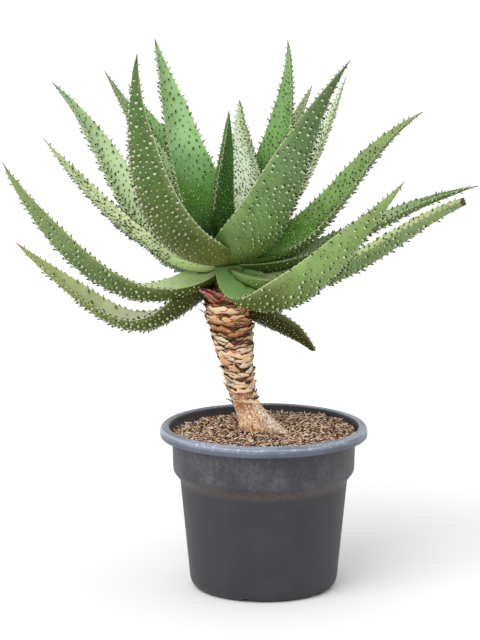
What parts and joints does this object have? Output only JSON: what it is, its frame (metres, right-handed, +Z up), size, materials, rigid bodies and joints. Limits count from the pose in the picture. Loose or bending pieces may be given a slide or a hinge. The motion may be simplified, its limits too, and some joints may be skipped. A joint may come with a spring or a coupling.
{
  "type": "potted mountain aloe",
  "caption": "Young mountain aloe: a rosette of thick, channelled, prickly leaves on a short leaning stem, standing in soil in a round nursery pot with a rolled rim.",
  "frame": {"origin": "centre of the pot's flat underside, on the surface that the pot stands on", "axes": "+Z up, -Y towards the plant's front, where the rosette is most open, +X to the right as seen from the front"},
  "size_m": [0.8408, 0.6451, 0.9739],
  "materials": {
    "leaf": "waxy grey-green skin, paler on the margins, with short brown-tipped prickles",
    "stem": "dry, tan, papery leaf bases wrapped in rings",
    "soil": "coarse bark chips and wood fibre",
    "pot": "moulded charcoal plastic, dusty, with a scuffed semi-gloss rim"
  },
  "bodies": {
    "root": {"leaf_back_broad": "leaf", "leaf_back_drooping": "leaf", "leaf_back_left_dark": "leaf", "leaf_back_left_slim": "leaf", "leaf_back_low": "leaf", "leaf_back_low_left": "leaf", "leaf_back_low_right": "leaf", "leaf_back_right_pale": "leaf", "leaf_back_right_tall": "leaf", "leaf_back_right_thin": "leaf", "leaf_back_upper_left": "leaf", "leaf_back_upper_right": "leaf", "leaf_front_drooping_blade": "leaf", "leaf_front_drooping_foot": "leaf", "leaf_front_left": "leaf", "leaf_front_right": "leaf", "leaf_heart_dark": "leaf", "leaf_heart_pale": "leaf", "leaf_left_drooping_blade": "leaf", "leaf_left_drooping_foot": "leaf", "leaf_left_long_blade": "leaf", "leaf_left_long_foot": "leaf", "leaf_left_slim": "leaf", "leaf_left_tall": "leaf", "leaf_right_cut": "leaf", "leaf_right_far": "leaf", "leaf_right_hanging": "leaf", "leaf_right_rising": "leaf", "pot": "pot", "soil": "soil", "stem": "stem"}
  },
  "joints": []
}
